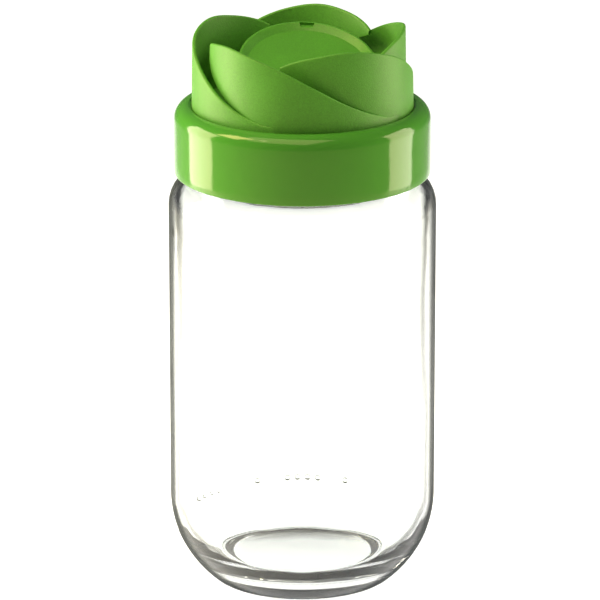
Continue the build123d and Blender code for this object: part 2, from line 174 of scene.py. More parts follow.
class JAR_PG_colours(bpy.types.PropertyGroup):
    """Colours of the finishes."""

    glass: colour("Glass", "Soda-lime glass", "FCFEFD")
    # Painted shade: the dark grey that the glass shows where it is seen edge on.
    glass_edge_shade: colour("Glass edge", "Soda-lime glass seen edge on", "3A3D3D")
    ring: colour("Ring", "Glossy green polypropylene", "4B8C2A")
    rose: colour("Rose", "Matt green polypropylene", "56972E")
    cap: colour("Inner cap", "Natural polypropylene", "ECECE4")
    liner: colour("Liner", "Polyethylene foam", "F4F4F0")
    floor: colour("Floor", "Seamless paper", "FFFFFF")


# ---------------------------------------------------------------- outlines
def arc(centre, radius, start, end, steps):
    """Points (radius, height) of a round stretch, from one angle in degrees to another."""
    points = []
    for i in range(steps + 1):
        turn = radians(start + (end - start) * i / steps)
        points.append((centre[0] + radius * cos(turn), centre[1] + radius * sin(turn)))
    return points


def oval_arc(centre, across, up, start, end, steps):
    """Points of a stretch of an ellipse, from one angle in degrees to another."""
    points = []
    for i in range(steps + 1):
        turn = radians(start + (end - start) * i / steps)
        points.append((centre[0] + across * cos(turn), centre[1] + up * sin(turn)))
    return points


def straight(start, end, steps):
    """Points of a straight stretch, without its last one."""
    return [
        (start[0] + (end[0] - start[0]) * i / steps, start[1] + (end[1] - start[1]) * i / steps)
        for i in range(steps)
    ]


def dome(crown, edge, steps):
    """Points of a shallow dome, from the axis to its edge."""
    sag = crown - edge[1]
    radius = (edge[0] ** 2 + sag**2) / (2 * sag)
    points = []
    for i in range(steps + 1):
        r = edge[0] * i / steps
        points.append((r, crown - radius + sqrt(radius**2 - r**2)))
    return points


def without_repeats(points):
    """The outline with no two neighbouring points in one place."""
    kept = [points[0]]
    for point in points[1:]:
        if hypot(point[0] - kept[-1][0], point[1] - kept[-1][1]) > 1e-6:
            kept.append(point)
    return kept


def rounded_corner(before, corner, after, radius, steps=5):
    """Points that round a square or slanted corner of an outline."""
    into = Vector(before) - Vector(corner)
    out = Vector(after) - Vector(corner)
    half = into.angle(out) / 2
    reach = radius / (sin(half) / cos(half))
    start = Vector(corner) + into.normalized() * reach
    end = Vector(corner) + out.normalized() * reach
    middle = (into.normalized() + out.normalized()).normalized()
    centre = Vector(corner) + middle * radius / sin(half)
    first = atan2(start.y - centre.y, start.x - centre.x)
    turn = atan2(end.y - centre.y, end.x - centre.x) - first
    turn = (turn + pi) % tau - pi
    points = []
    for i in range(steps + 1):
        at = first + turn * i / steps
        points.append((centre.x + radius * cos(at), centre.y + radius * sin(at)))
    return points


def rounded_outline(corners, steps=5):
    """A closed outline from (radius, height, rounding) corners."""
    points = []
    for i, (x, z, rounding) in enumerate(corners):
        before, after = corners[i - 1][:2], corners[(i + 1) % len(corners)][:2]
        if rounding:
            points += rounded_corner(before, (x, z), after, rounding, steps)
        else:
            points.append((x, z))
    return points


# ---------------------------------------------------------------- mesh helpers
def spun(outline, columns, closed=False, angle=tau, rise=0.0):
    """A bmesh made by turning an outline of (radius, height) points about the jar's axis."""
    bm = bmesh.new()
    verts = [bm.verts.new((r, 0, z)) for r, z in outline]
    edges = [bm.edges.new(pair) for pair in zip(verts, verts[1:])]
    if closed:
        edges.append(bm.edges.new((verts[-1], verts[0])))
    full = angle == tau and rise == 0.0
    bmesh.ops.spin(
        bm, geom=verts + edges, cent=(0, 0, 0), axis=(0, 0, 1), dvec=(0, 0, rise / columns),
        angle=angle, steps=columns, use_merge=full,
    )
    bmesh.ops.remove_doubles(bm, verts=bm.verts, dist=1e-7)
    return bm


def face_outwards(bm):
    """Merged doubles and normals that point out of the closed mesh."""
    bmesh.ops.remove_doubles(bm, verts=bm.verts, dist=1e-7)
    bmesh.ops.recalc_face_normals(bm, faces=bm.faces)


def add_box(bm, size, place, round_off=0.0):
    """A small block, rounded off, added to a bmesh at a place given by a matrix."""
    made = bmesh.ops.create_cube(bm, size=1.0)["verts"]
    bmesh.ops.scale(bm, verts=made, vec=size)
    if round_off:
        edges = list({e for v in made for e in v.link_edges})
        made = bmesh.ops.bevel(
            bm, geom=edges, offset=round_off, segments=2, profile=0.5, affect="EDGES", material=-1,
            offset_type="OFFSET",
        )["verts"]
        made = list({v for start in made for v in connected(start)})
    bmesh.ops.transform(bm, matrix=place, verts=made)


def connected(start):
    """Every vertex joined to one vertex by edges."""
    found, waiting = {start}, [start]
    while waiting:
        for edge in waiting.pop().link_edges:
            for v in edge.verts:
                if v not in found:
                    found.add(v)
                    waiting.append(v)
    return found


def loft(bm, loops):
    """Closed loops of points joined in order; the first and last are drawn to a point."""
    previous = None
    ends = []
    for points in loops:
        verts = [bm.verts.new(p) for p in points]
        edges = [bm.edges.new(pair) for pair in zip(verts, verts[1:] + verts[:1])]
        if previous:
            bmesh.ops.bridge_loops(bm, edges=previous + edges)
        previous = edges
        ends = (ends or [verts]) + [verts]
        ends = [ends[0], ends[-1]]
    for verts in ends:
        middle = sum((v.co for v in verts), Vector()) / len(verts)
        bmesh.ops.pointmerge(bm, verts=verts, merge_co=middle)


def finished(bm, name, body, material, stands_for, sharp=40.0):
    """The object made from a bmesh: smooth but for its sharp edges, riding on its body."""
    limit = radians(sharp)
    for face in bm.faces:
        face.smooth = True
    for edge in bm.edges:
        if len(edge.link_faces) == 2:
            edge.smooth = edge.calc_face_angle(0.0) < limit
    mesh = bpy.data.meshes.new(name)
    bm.to_mesh(mesh)
    bm.free()
    mesh.materials.append(material)
    piece = bpy.data.objects.new(name, mesh)
    bpy.context.scene.collection.objects.link(piece)
    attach(piece, body)
    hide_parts(*stands_for)
    return piece


# ---------------------------------------------------------------- materials
def new_material(name):
    """An empty node material with its output."""
    material = bpy.data.materials.new(name)
    material.use_nodes = True
    material.node_tree.nodes.clear()
    return material


def add_node(material, kind, inputs=None, **settings):
    """One node with its settings; an input is a value, or the output socket that feeds it."""
    node = material.node_tree.nodes.new(kind)
    for key, value in settings.items():
        setattr(node, key, value)
    for key, value in (inputs or {}).items():
        socket = node.inputs[key]
        if isinstance(value, bpy.types.NodeSocket):
            material.node_tree.links.new(value, socket)
        else:
            socket.default_value = value
    return node


def per_metre(millimetres):
    """Texture scale whose pattern repeats about every so many millimetres."""
    return 1 / (millimetres * MM)


def noise(m, place, millimetres, detail):
    """Blotches about so many millimetres across."""
    return add_node(
        m, "ShaderNodeTexNoise",
        {"Vector": place, "Scale": per_metre(millimetres), "Detail": detail},
    ).outputs["Fac"]


def relief(m, height, strength, millimetres):
    """Surface direction that follows a pattern standing out so many millimetres."""
    return add_node(
        m, "ShaderNodeBump", {"Height": height, "Strength": strength, "Distance": millimetres * MM}
    ).outputs["Normal"]


def remap(m, value, start, stop, low, high):
    """A value taken from one range to another, and held within it."""
    return add_node(
        m, "ShaderNodeMapRange",
        {"Value": value, "From Min": start, "From Max": stop, "To Min": low, "To Max": high},
    ).outputs["Result"]


def fire_polished_glass(tint, edge):
    """Clear soda-lime glass, blown and fire polished: clear in front, with painted shade where seen
    edge on.

    Where the wall is seen edge on, a dark diffuse shader is mixed in: painted shade for dark edges. The
    skin is smooth but never quite flat, so straight reflections waver a little.
    """
    m = new_material("soda_lime_glass_fire_polished")
    place = add_node(m, "ShaderNodeTexCoord").outputs["Object"]
    stretch = add_node(
        m, "ShaderNodeMapping", {"Vector": place, "Scale": (1.0, 1.0, 0.35)}
    ).outputs["Vector"]
    bump = relief(m, noise(m, stretch, 16, 1.0), 0.5, 0.5)
    # Painted shade: the more edge-on the glass is seen, the more of a dark diffuse is mixed in.
    slant = add_node(m, "ShaderNodeLayerWeight", {"Blend": 0.5, "Normal": bump}).outputs["Facing"]
    depth = add_node(
        m, "ShaderNodeMapRange",
        {"Value": slant, "From Min": 0.64, "From Max": 0.80, "To Min": 0.0, "To Max": 0.9},
        interpolation_type="SMOOTHSTEP",
    ).outputs["Result"]
    glass = add_node(
        m, "ShaderNodeBsdfPrincipled",
        {
            "Base Color": tint,
            "Roughness": 0.0,
            "IOR": 1.52,
            "Transmission Weight": 1.0,
            "Normal": bump,
        },
    )
    # The dark diffuse of that painted shade.
    painted_edge_shade = add_node(m, "ShaderNodeBsdfDiffuse", {"Color": edge})
    both = add_node(m, "ShaderNodeMixShader", {"Fac": depth})
    m.node_tree.links.new(glass.outputs["BSDF"], both.inputs[1])
    m.node_tree.links.new(painted_edge_shade.outputs["BSDF"], both.inputs[2])
    add_node(m, "ShaderNodeOutputMaterial", {"Surface": both.outputs["Shader"]})
    return m


# Highlights on the greens look yellow rather than white
WARM_GLOSS = (1.0, 0.80, 0.45, 1.0)


def moulded_gloss_plastic(green):
    """Polypropylene from a polished mould: a clear gloss with faint flow waves."""
    m = new_material("polypropylene_polished_mould")
    place = add_node(m, "ShaderNodeTexCoord").outputs["Object"]
    fine = noise(m, place, 0.8, 2.0)
    waves = relief(m, noise(m, place, 9, 1.0), 0.25, 0.25)
    skin = add_node(
        m, "ShaderNodeBump",
        {"Height": fine, "Strength": 0.08, "Distance": 0.02 * MM, "Normal": waves},
    ).outputs["Normal"]
    plastic = add_node(
        m, "ShaderNodeBsdfPrincipled",
        {
            "Base Color": green,
            "Roughness": remap(m, fine, 0.3, 0.7, 0.07, 0.13),
            "IOR": 1.49,
            "Specular Tint": WARM_GLOSS,
            "Subsurface Weight": 0.15,
            "Subsurface Radius": (1.0, 1.4, 0.4),
            "Subsurface Scale": 1.0 * MM,
            "Normal": skin,
        },
    )
    add_node(m, "ShaderNodeOutputMaterial", {"Surface": plastic.outputs["BSDF"]})
    return m


def spark_eroded_plastic(green, name, grain, roughness):
    """Polypropylene from a spark-eroded mould: an even matt grain that sparkles in the light.

    The real grain is about 0.1 mm; it is drawn coarser so that it shows.
    """
    m = new_material(name)
    place = add_node(m, "ShaderNodeTexCoord").outputs["Object"]
    pits = add_node(
        m, "ShaderNodeTexNoise",
        {"Vector": place, "Scale": per_metre(0.45), "Detail": 2.0, "Roughness": 0.6},
    ).outputs["Fac"]
    shade = remap(m, noise(m, place, 14, 2.0), 0.35, 0.65, 0.96, 1.04)
    speckle = remap(m, pits, 0.35, 0.65, 0.88, 1.12)
    value = add_node(
        m, "ShaderNodeMath", {0: shade, 1: speckle}, operation="MULTIPLY"
    ).outputs["Value"]
    skin = add_node(
        m, "ShaderNodeHueSaturation", {"Value": value, "Color": green}
    ).outputs["Color"]
    sheen = remap(m, pits, 0.3, 0.7, roughness - 0.06, roughness + 0.06)
    plastic = add_node(
        m, "ShaderNodeBsdfPrincipled",
        {
            "Base Color": skin,
            "Roughness": sheen,
            "IOR": 1.49,
            "Specular Tint": WARM_GLOSS,
            "Subsurface Weight": 0.15,
            "Subsurface Radius": (1.0, 1.4, 0.4),
            "Subsurface Scale": 1.0 * MM,
            "Normal": relief(m, pits, grain, 0.2),
        },
    )
    add_node(m, "ShaderNodeOutputMaterial", {"Surface": plastic.outputs["BSDF"]})
    return m


def natural_plastic(milky):
    """Unpigmented polypropylene: milky and slightly waxy, light glows in its thin walls."""
    m = new_material("natural_polypropylene_moulded")
    place = add_node(m, "ShaderNodeTexCoord").outputs["Object"]
    flow = noise(m, place, 2.5, 3.0)
    plastic = add_node(
        m, "ShaderNodeBsdfPrincipled",
        {
            "Base Color": milky,
            "Roughness": remap(m, flow, 0.0, 1.0, 0.28, 0.42),
            "IOR": 1.49,
            "Subsurface Weight": 0.4,
            "Subsurface Radius": (1.0, 1.0, 0.9),
            "Subsurface Scale": 2.0 * MM,
            "Normal": relief(m, flow, 0.1, 0.05),
        },
    )
    add_node(m, "ShaderNodeOutputMaterial", {"Surface": plastic.outputs["BSDF"]})
    return m


def closed_cell_foam(white):
    """Skived polyethylene foam: dull white with cut cells about half a millimetre across."""
    m = new_material("polyethylene_foam_skived")
    place = add_node(m, "ShaderNodeTexCoord").outputs["Object"]
    cells = add_node(
        m, "ShaderNodeTexVoronoi", {"Vector": place, "Scale": per_metre(0.6)},
        feature="SMOOTH_F1",
    ).outputs["Distance"]
    bump = relief(m, cells, 0.6, 0.2)
    foam = add_node(
        m, "ShaderNodeBsdfPrincipled",
        {"Base Color": white, "Roughness": 0.85, "IOR": 1.5, "Normal": bump},
    )
    add_node(m, "ShaderNodeOutputMaterial", {"Surface": foam.outputs["BSDF"]})
    return m


# Painted light: the paper glows by emission, brightest in a strip under and behind the jar.
STRIP_GLOW = 0.76          # glow of the lit strip
PAPER_GLOW = 0.06          # glow of the rest of the paper
STRIP_HALF = 0.24          # half the strip's width, in metres
STRIP_FRONT = -0.07        # where the strip starts in front of the jar, in metres
STRIP_FADE = 0.10          # how far its edges fade out, in metres


def seamless_paper(white):
    """Matt white studio paper that glows as a strip under and behind the jar: painted light from
    emission, no lamp, which also lights the jar from below.
    """
    m = new_material("seamless_paper")
    place = add_node(m, "ShaderNodeTexCoord").outputs["Object"]
    split = add_node(m, "ShaderNodeSeparateXYZ", {"Vector": place})
    aside = add_node(m, "ShaderNodeMath", {0: split.outputs["X"]}, operation="ABSOLUTE")
    across = remap(m, aside.outputs["Value"], STRIP_HALF + STRIP_FADE, STRIP_HALF, 0.0, 1.0)
    along = remap(m, split.outputs["Y"], STRIP_FRONT - STRIP_FADE, STRIP_FRONT, 0.0, 1.0)
    lit = add_node(m, "ShaderNodeMath", {0: across, 1: along}, operation="MULTIPLY")
    # Painted light: the strength of the paper's glow.
    glow = remap(m, lit.outputs["Value"], 0.0, 1.0, PAPER_GLOW, STRIP_GLOW)
    paper = add_node(
        m, "ShaderNodeBsdfPrincipled",
        {
            "Base Color": white,
            "Roughness": 0.9,
            "Emission Color": white,
            "Emission Strength": glow,
            "Specular IOR Level": 0.0,
        },
    )
    add_node(m, "ShaderNodeOutputMaterial", {"Surface": paper.outputs["BSDF"]})
    return m


# ---------------------------------------------------------------- glass jar
BEAD_RISE = 3.7 * MM       # middle of the neck's bead above the shoulder
BEAD_HALF = 1.2 * MM       # half its height, and how far it stands out
THROAT_ROUND = 1.5 * MM    # rounding where the throat opens into the body
THREADS = 4
THREAD_FADE = radians(5)   # angle in which a thread runs out at each end
WAVES_LOW = 8 * MM         # the inner wall wavers from this height
WAVES_DROP = 4 * MM        # up to this far below the neck
WAVES_LOW_FADE = 25 * MM
WAVES_HIGH_FADE = 12 * MM
KNURL_DEPTH = 0.28 * MM
CODE_DOTS = (-60.0, -55.0, -49.5, -45.0, -22.0, -7.2, -2.4, 2.4, 7.2, 21.0)
CODE_DOT_Z = 20 * MM
CODE_DOT_R = 1.2 * MM
CODE_DOT_SINK = 0.1 * MM   # how far the middle of a dot lies inside the wall
CODE_DOT_RELIEF = 0.8      # height of a dot as a share of its radius


def heel_centre(g):
    """Radius and height of the middle of the heel's rounding, which also touches the foot's."""
    heel_r = JAR_HIGH.x - g.heel
    reach = g.foot + g.foot_flat / 2 - heel_r
    return heel_r, g.foot_round + sqrt((g.heel - g.foot_round) ** 2 - reach**2)


def jar_outline(g):
    """Section of the glass: out along the base, up outside, in over the rim, down inside."""
    radius, top = JAR_HIGH.x, JAR_HIGH.z
    heel_r, heel_z = heel_centre(g)
    foot_in, foot_out = g.foot - g.foot_flat / 2, g.foot + g.foot_flat / 2
    lean = degrees(atan2(g.foot_round - heel_z, foot_out - heel_r))
    slant = g.foot_round * sin(radians(45))
    slope_foot = (foot_in - slant, g.foot_round - slant)
    slope_top = (slope_foot[0] - g.foot_slope, slope_foot[1] + g.foot_slope)
    neck_foot = top - g.neck_height
    shoulder_z = neck_foot - g.shoulder
    shoulder_r = radius - g.shoulder
    inner = radius - g.wall
    inner_round = g.shoulder - g.wall
    bead_z = neck_foot + BEAD_RISE

    points = dome(g.push_up, slope_top, 10)
    points += straight(slope_top, slope_foot, 2)
    points += arc((foot_in, g.foot_round), g.foot_round, -135, -90, 4)
    points += straight((foot_in, 0), (foot_out, 0), 4)
    points += arc((foot_out, g.foot_round), g.foot_round, -90, lean, 3)
    points += arc((heel_r, heel_z), g.heel, lean, 0, 26)
    points += straight((radius, heel_z), (radius, shoulder_z), 10)
    points += arc((shoulder_r, shoulder_z), g.shoulder, 0, 90, 9)
    points += straight((g.neck, neck_foot), (g.neck, bead_z - BEAD_HALF), 1)
    points += arc((g.neck, bead_z), BEAD_HALF, -90, 90, 6)
    points += straight((g.neck, bead_z + BEAD_HALF), (g.neck, top - g.rim_round), 28)
    points += arc((g.neck - g.rim_round, top - g.rim_round), g.rim_round, 0, 90, 4)
    points += arc((g.mouth + g.rim_round, top - g.rim_round), g.rim_round, 90, 180, 4)
    throat_z = shoulder_z + sqrt(inner_round**2 - max(g.mouth - shoulder_r, 0) ** 2)
    throat_top = throat_z + THROAT_ROUND
    points += straight((g.mouth, top - g.rim_round), (g.mouth, throat_top), 3)
    points += arc((g.mouth + THROAT_ROUND, throat_top), THROAT_ROUND, 180, 270, 3)
    points += arc((shoulder_r, shoulder_z), inner_round, 90, 0, 7)
    points += straight((inner, shoulder_z), (inner, heel_z), 14)
    across, up = inner - g.floor_radius, heel_z - g.floor_height
    points += oval_arc((g.floor_radius, heel_z), across, up, 0, -90, 18)
    points += reversed(dome(g.push_up + g.base, (g.floor_radius, g.floor_height), 7))
    return without_repeats(points)


def thread_relief(g, turn, z):
    """How far the neck stands out at a point, where a glass thread crosses it."""
    middle = JAR_HIGH.z - g.thread_drop
    best = 0.0
    for start in range(THREADS):
        along = (turn - start * tau / THREADS) % tau
        if along > g.thread_span:
            continue
        rise = middle + g.thread_lead * (along - g.thread_span / 2) / tau
        off = abs(z - rise) / (g.thread_width / 2)
        fade = min(1.0, min(along, g.thread_span - along) / THREAD_FADE)
        if off < 1:
            best = max(best, g.thread_depth * sqrt(fade) * cos(off * pi / 2) ** 0.6)
    return best


def blown_wave(turn, z):
    """Unevenness of the inner wall, from -1 to 1: long slow waves, as blowing leaves them."""
    slow = 0.55 * sin(2 * turn + 0.9 + z / (31 * MM))
    cross = 0.3 * sin(3 * turn - 1.4 - z / (17 * MM))
    ripple = 0.25 * sin(z / (9.5 * MM) + 2.1 * sin(turn))
    return slow + cross + ripple


class JAR_OT_glass_jar(bpy.types.Operator):
    """Glass jar with its neck threads, uneven inner wall, stippled foot and code dots"""

    bl_idname = "jar.glass_jar"
    bl_label = "Glass jar"

    def execute(self, context):
        g = context.scene.jar_glass
        bm = spun(jar_outline(g), GLASS_COLUMNS)
        inner = JAR_HIGH.x - g.wall
        neck_foot = JAR_HIGH.z - g.neck_height
        waves_high = neck_foot - WAVES_DROP
        for v in bm.verts:
            r, turn = hypot(v.co.x, v.co.y), atan2(v.co.y, v.co.x)
            push = 0.0
            if abs(r - g.neck) < 1e-5 and v.co.z > neck_foot:
                push = thread_relief(g, turn, v.co.z)
            elif g.floor_radius < r < inner + 1e-5 and WAVES_LOW < v.co.z < waves_high:
                from_low = (v.co.z - WAVES_LOW) / WAVES_LOW_FADE
                from_high = (waves_high - v.co.z) / WAVES_HIGH_FADE
                push = g.waviness * blown_wave(turn, v.co.z) * min(1.0, from_low, from_high)
            if push:
                v.co.x += push * v.co.x / r
                v.co.y += push * v.co.y / r
            if v.co.z < 1e-5 and abs(r - g.foot) < g.foot_flat / 2 - 1e-5:
                v.co.z += KNURL_DEPTH * (1 + cos(g.knurls * turn))
        face_outwards(bm)
        self.add_code_dots(bm, g)
        tints = context.scene.jar_colours
        glass = fire_polished_glass(tints.glass, tints.glass_edge_shade)
        finished(bm, "jar_glass", JAR_BODY, glass, ["glass_jar"], sharp=75)
        return {"FINISHED"}

    @staticmethod
    def add_code_dots(bm, g):
        """Small raised dots low on the back, which tell the moulds apart."""
        heel_r, heel_z = heel_centre(g)
        radius = heel_r + sqrt(g.heel**2 - (heel_z - CODE_DOT_Z) ** 2) - CODE_DOT_SINK
        for off_middle in CODE_DOTS:
            place = (
                Matrix.Rotation(radians(90 - off_middle), 4, "Z")
                @ Matrix.Translation((radius, 0, CODE_DOT_Z))
                @ Matrix.Diagonal((CODE_DOT_RELIEF, 1.0, 1.0, 1.0))
            )
            bmesh.ops.create_uvsphere(
                bm, u_segments=16, v_segments=10, radius=CODE_DOT_R, matrix=place
            )


# ---------------------------------------------------------------- outer ring
HOLE_GAP = 0.1 * MM        # room between the rose and the hole it stands in
SEAT_ROUND = 0.2 * MM
RIBS = 12                  # ribs inside, which turn the cap
RIB_SIZE = (3.0 * MM, 1.8 * MM)
RIB_SINK = 0.5 * MM
RIB_START = 6.0 * MM       # foot of the ribs above the ring's lower edge
RIB_STOP = 0.9 * MM        # their top below the cap's top
CLIPS = 6                  # clips that hold the cap up
CLIP_SIZE = (2.3 * MM, 9.0 * MM, 1.0 * MM)
CLIP_SINK = 0.15 * MM
CLIP_DROP = 2.3 * MM       # middle of the clips below the cap's top


class JAR_OT_outer_ring(bpy.types.Operator):
    """Glossy outer ring with its inside ribs and clips"""

    bl_idname = "jar.outer_ring"
    bl_label = "Outer ring"

    def execute(self, context):
        s = context.scene.jar_lid
        radius, low, top = RING_HIGH.x, RING_LOW.z, RING_HIGH.z
        inner = radius - s.ring_wall
        hole = s.rose + HOLE_GAP
        seat_r, seat_z = hole + s.ring_seat_width, top - s.ring_seat
        round_z, round_r = top - s.ring_round, radius - s.ring_round
        under = top - s.ring_top
        edge = s.ring_edge
        outline = arc((radius - edge, low + edge), edge, -90, 0, 4)
        outline += straight((radius, low + edge), (radius, round_z), 6)
        outline += arc((round_r, round_z), s.ring_round, 0, 90, 14)
        outline += rounded_corner((round_r, top), (seat_r, top), (seat_r, seat_z), SEAT_ROUND, 3)
        outline += [(seat_r, seat_z)]
        outline += rounded_corner((seat_r, seat_z), (hole, seat_z), (hole, under), SEAT_ROUND, 3)
        outline += [(hole, under), (round_r, under)]
        outline += oval_arc((round_r, round_z), s.ring_round - s.ring_wall, under - round_z, 90, 0, 8)
        outline += straight((inner, round_z), (inner, low + edge), 4)
        outline += arc((inner + edge, low + edge), edge, 180, 270, 4)
        bm = spun(without_repeats(outline), RING_COLUMNS, closed=True)
        face_outwards(bm)
        rib_low, rib_high = low + RIB_START, CAP_HIGH.z - RIB_STOP
        for i in range(RIBS):
            turn = Matrix.Rotation(tau * i / RIBS, 4, "Z")
            lift = Matrix.Translation((inner - RIB_SINK, 0, (rib_low + rib_high) / 2))
            add_box(bm, (*RIB_SIZE, rib_high - rib_low), turn @ lift, 0.3 * MM)
        for i in range(CLIPS):
            turn = Matrix.Rotation(tau * (i + 0.25) / CLIPS, 4, "Z")
            lift = Matrix.Translation((inner - CLIP_SINK, 0, CAP_HIGH.z - CLIP_DROP))
            add_box(bm, CLIP_SIZE, turn @ lift, 0.2 * MM)
        green = moulded_gloss_plastic(context.scene.jar_colours.ring)
        finished(bm, "lid_outer_ring", LID_BODY, green, ["outer_ring"])
        return {"FINISHED"}


# ---------------------------------------------------------------- rose
# Rim of a petal and its free edge: degrees from its start, share of the petal's height
PETAL_RIM = (
    (-16, 0.68), (-10, 0.77), (0, 0.87), (14, 0.95), (32, 1.0), (50, 0.93),
    (66, 0.80), (84, 0.57), (102, 0.32), (118, 0.15), (136, 0.03),
)
PETAL_EDGE = (
    (-16, 0.80), (-10, 0.73), (0, 0.65), (12, 0.53), (24, 0.38), (36, 0.24),
    (48, 0.12), (66, -0.05), (80, -0.10), (136, -0.10),
)
PETAL_TIP = -8.5           # where a petal's head ends, in degrees from its start
PETAL_TAIL = 131.0         # where its tail ends
PETAL_STEPS = 96
HEAD_LENGTH = 2.4          # depth in degrees of the small hollow that closes the head
HEAD_STEPS = 7
HEAD_END = 0.12            # size of the hollow's bottom, as a share of the petal's section
HEAD_GAP = 0.001           # keeps two sections from falling in one place, in degrees
THIN_HALF = 0.45 * MM      # least half height of a section
CREST_SHARE = 0.7          # thickness at the rim, as a share of that at the foot
PETAL_SINK = 0.8 * MM      # how far the petals reach below the seat


def smooth_value(points, at):
    """Height of a smooth curve through given points, at one angle."""
    last = len(points) - 1
    i = max(k for k in range(last) if points[k][0] <= at or k == 0)
    (x0, y0), (x1, y1) = points[i], points[i + 1]
    before, after = points[max(i - 1, 0)], points[min(i + 2, last)]
    slope0 = (y1 - before[1]) / (x1 - before[0])
    slope1 = (after[1] - y0) / (after[0] - x0)
    span = x1 - x0
    t = (at - x0) / span
    return (
        (2 * t**3 - 3 * t**2 + 1) * y0 + (t**3 - 2 * t**2 + t) * span * slope0
        + (3 * t**2 - 2 * t**3) * y1 + (t**3 - t**2) * span * slope1
    )


def petal_radius(s, at, inset):
    """Plan radius of a petal's wall at an angle in degrees from its start."""
    turn = radians(at) - s.tuck_end
    if turn >= 0:
        return s.rose - inset
    shift = s.rose - s.tuck
    return shift * cos(turn) + sqrt((s.tuck - inset) ** 2 - (shift * sin(turn)) ** 2)


def petal_section(s, at, share, base, petal):
    """Closed loop of one upright section of a petal, thinned to a share at its tip."""
    high = base + s.petal_height * smooth_value(PETAL_RIM, at)
    low = base + s.petal_height * smooth_value(PETAL_EDGE, at)
    low = max(low, base - s.ring_seat - PETAL_SINK)
    middle, half = (high + low) / 2, max((high - low) / 2, THIN_HALF) * share
    thick = s.petal_wall / 2 * share
    crest = thick * CREST_SHARE
    rounding = min(s.petal_round, 0.9 * crest, 0.96 * half)
    corners = [
        (-thick, middle - half, rounding), (thick, middle - half, rounding),
        (crest, middle + half, rounding), (-crest, middle + half, rounding),
    ]
    loop = rounded_outline(corners, 4)
    direction = s.first_petal + tau * petal / s.petals + radians(at)
    points = []
    for inset, z in loop:
        r = petal_radius(s, at, s.petal_wall / 2 + inset)
        points.append((r * cos(direction), r * sin(direction), z))
    return points


def petal_places():
    """Angle and share of every section of a petal: its head's hollow, then the wall to its tail."""
    places = []
    for i in range(HEAD_STEPS):
        t = 1 - i / HEAD_STEPS
        share = sqrt(1 - t * t)
        places.append((PETAL_TIP + HEAD_LENGTH * (1 - share) - HEAD_GAP, share or HEAD_END))
    start = PETAL_TIP + HEAD_LENGTH
    for i in range(PETAL_STEPS + 1):
        places.append((start + (PETAL_TAIL - start) * i / PETAL_STEPS, 1.0))
    return places


# The bud's foot flares out into the floor: (radius, height) in millimetres
BUD_FOOT = ((1.6, 0.0), (0.9, 0.12), (0.35, 0.5), (0.08, 1.1), (0.0, 1.9))
BUD_FOOT_OUT = 1.6 * MM
BUD_FOOT_SINK = 1.6 * MM
# Rounding of the bud's mouth: (inset, drop) in millimetres
BUD_MOUTH = ((0.0, 0.4), (0.12, 0.12), (0.4, 0.0))
PLUG_HOLE_DEPTH = 3.7 * MM
FLOOR_WALL = 1.8 * MM
FLOOR_GAP = 0.2 * MM
FLANGE_WIDTH = 4 * MM
FLANGE_GAP = 0.1 * MM
BUD_OVERLAP = 4 * MM       # how far the floor reaches in under the bud


class JAR_OT_rose(bpy.types.Operator):
    """Matt rose: five overlapping petals, their band and floor, and the bud under the disc"""

    bl_idname = "jar.rose"
    bl_label = "Rose"

    def execute(self, context):
        s = context.scene.jar_lid
        base = RING_HIGH.z
        bm = bmesh.new()
        for petal in range(s.petals):
            loft(bm, [petal_section(s, at, share, base, petal) for at, share in petal_places()])
        self.add_floor(bm, s, base)
        self.add_bud(bm, s, base)
        face_outwards(bm)
        green = spark_eroded_plastic(
            context.scene.jar_colours.rose, "polypropylene_spark_eroded", 0.5, 0.5
        )
        finished(bm, "lid_rose", LID_BODY, green, ["rose_top"])
        return {"FINISHED"}

    @staticmethod
    def add_floor(bm, s, base):
        """Floor, band and holding flange of the rose, as one turned wall."""
        out = s.rose - FLOOR_GAP
        inside = out - s.band_wall
        bottom, flange_r = base - FLOOR_WALL, RING_HIGH.x - s.ring_round - FLANGE_GAP
        flange_in, flange_low = flange_r - FLANGE_WIDTH, CAP_HIGH.z
        bud_r = s.disc + s.bud_flare - BUD_OVERLAP
        outline = rounded_outline([
            (bud_r, bottom, 0), (flange_in, bottom, 0), (flange_in, flange_low, 0),
            (flange_r, flange_low, 0.2 * MM), (flange_r, bottom, 0.2 * MM), (out, bottom, 0),
            (out, base + s.band, 0.7 * MM), (inside, base + s.band, 0.7 * MM),
            (inside, base, 0.6 * MM), (bud_r, base, 0),
        ])
        turned = spun(without_repeats(outline), ROSE_COLUMNS, closed=True)
        face_outwards(turned)
        join(bm, turned)

    @staticmethod
    def add_bud(bm, s, base):
        """Slanting hollow pedestal that carries the disc."""
        foot_r = s.disc + s.bud_flare
        foot = Matrix.Translation((s.bud_shift, 0, base - BUD_FOOT_SINK))
        mouth = disc_place(s) @ Matrix.Translation((0, 0, -s.disc_edge))
        rings = []
        for out, z in BUD_FOOT:
            rings.append(circle(foot_r + out * MM, Matrix.Translation((s.bud_shift, 0, base + z * MM))))
        for inset, drop in BUD_MOUTH:
            rings.append(circle(s.disc - inset * MM, mouth @ Matrix.Translation((0, 0, -drop * MM))))
        hole_r = s.disc - s.bud_wall
        rings.append(circle(hole_r, mouth))
        rings.append(circle(hole_r, mouth @ Matrix.Translation((0, 0, -PLUG_HOLE_DEPTH))))
        rings.append(circle(foot_r - s.bud_wall, foot))
        rings.append(circle(foot_r + BUD_FOOT_OUT, foot))
        rings.append(rings[0])
        bud = bmesh.new()
        previous = None
        for points in rings:
            verts = [bud.verts.new(p) for p in points]
            edges = [bud.edges.new(pair) for pair in zip(verts, verts[1:] + verts[:1])]
            if previous:
                bmesh.ops.bridge_loops(bud, edges=previous + edges)
            previous = edges
        face_outwards(bud)
        join(bm, bud)


